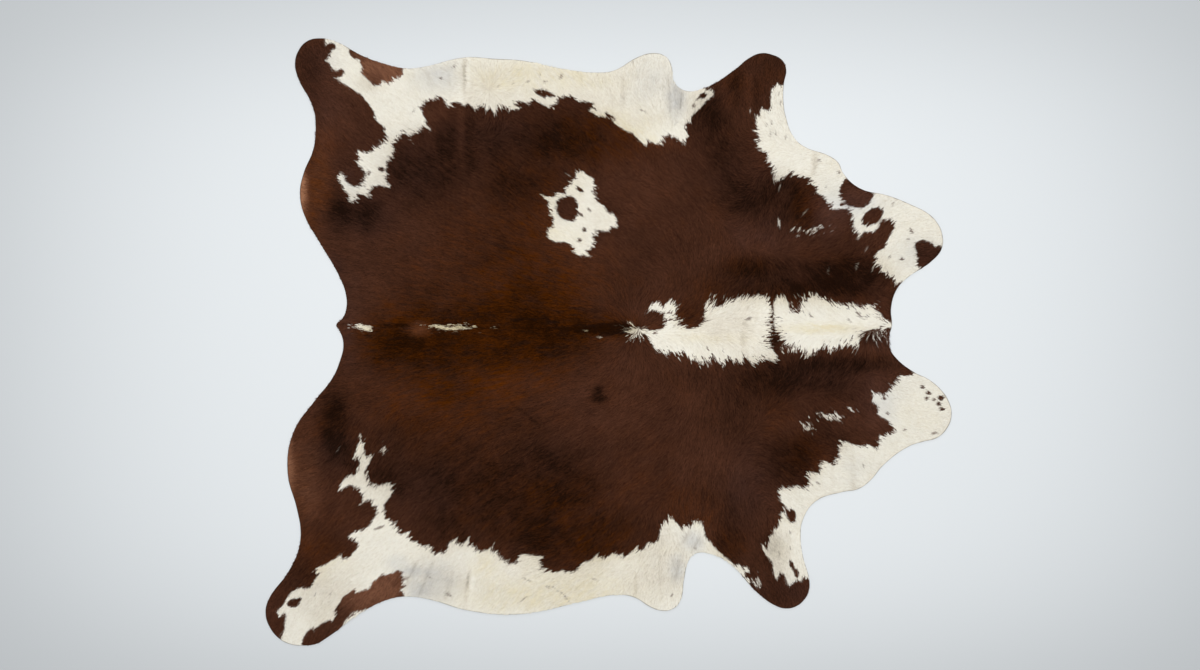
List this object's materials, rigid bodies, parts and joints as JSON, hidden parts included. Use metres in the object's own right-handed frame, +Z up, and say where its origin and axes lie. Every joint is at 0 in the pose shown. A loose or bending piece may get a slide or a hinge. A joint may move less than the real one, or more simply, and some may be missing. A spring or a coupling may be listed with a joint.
{
  "type": "cowhide rug",
  "caption": "Flat natural hair-on cowhide floor rug in dark brown with cream-white markings, in the whole-hide outline with leg, belly and neck flaps.",
  "frame": {"origin": "on the floor, under the middle of the rug's bounding box", "axes": "+X along the spine towards the neck, +Y to the animal's left side, +Z up, hair side up"},
  "size_m": [2.3004, 2.036, 0.006],
  "materials": {
    "hair_on_hide": "short smooth cattle hair lying flat on tanned leather, dark red-brown with cream-white markings, low silky sheen"
  },
  "bodies": {
    "root": {"hide": "hair_on_hide"}
  },
  "joints": []
}
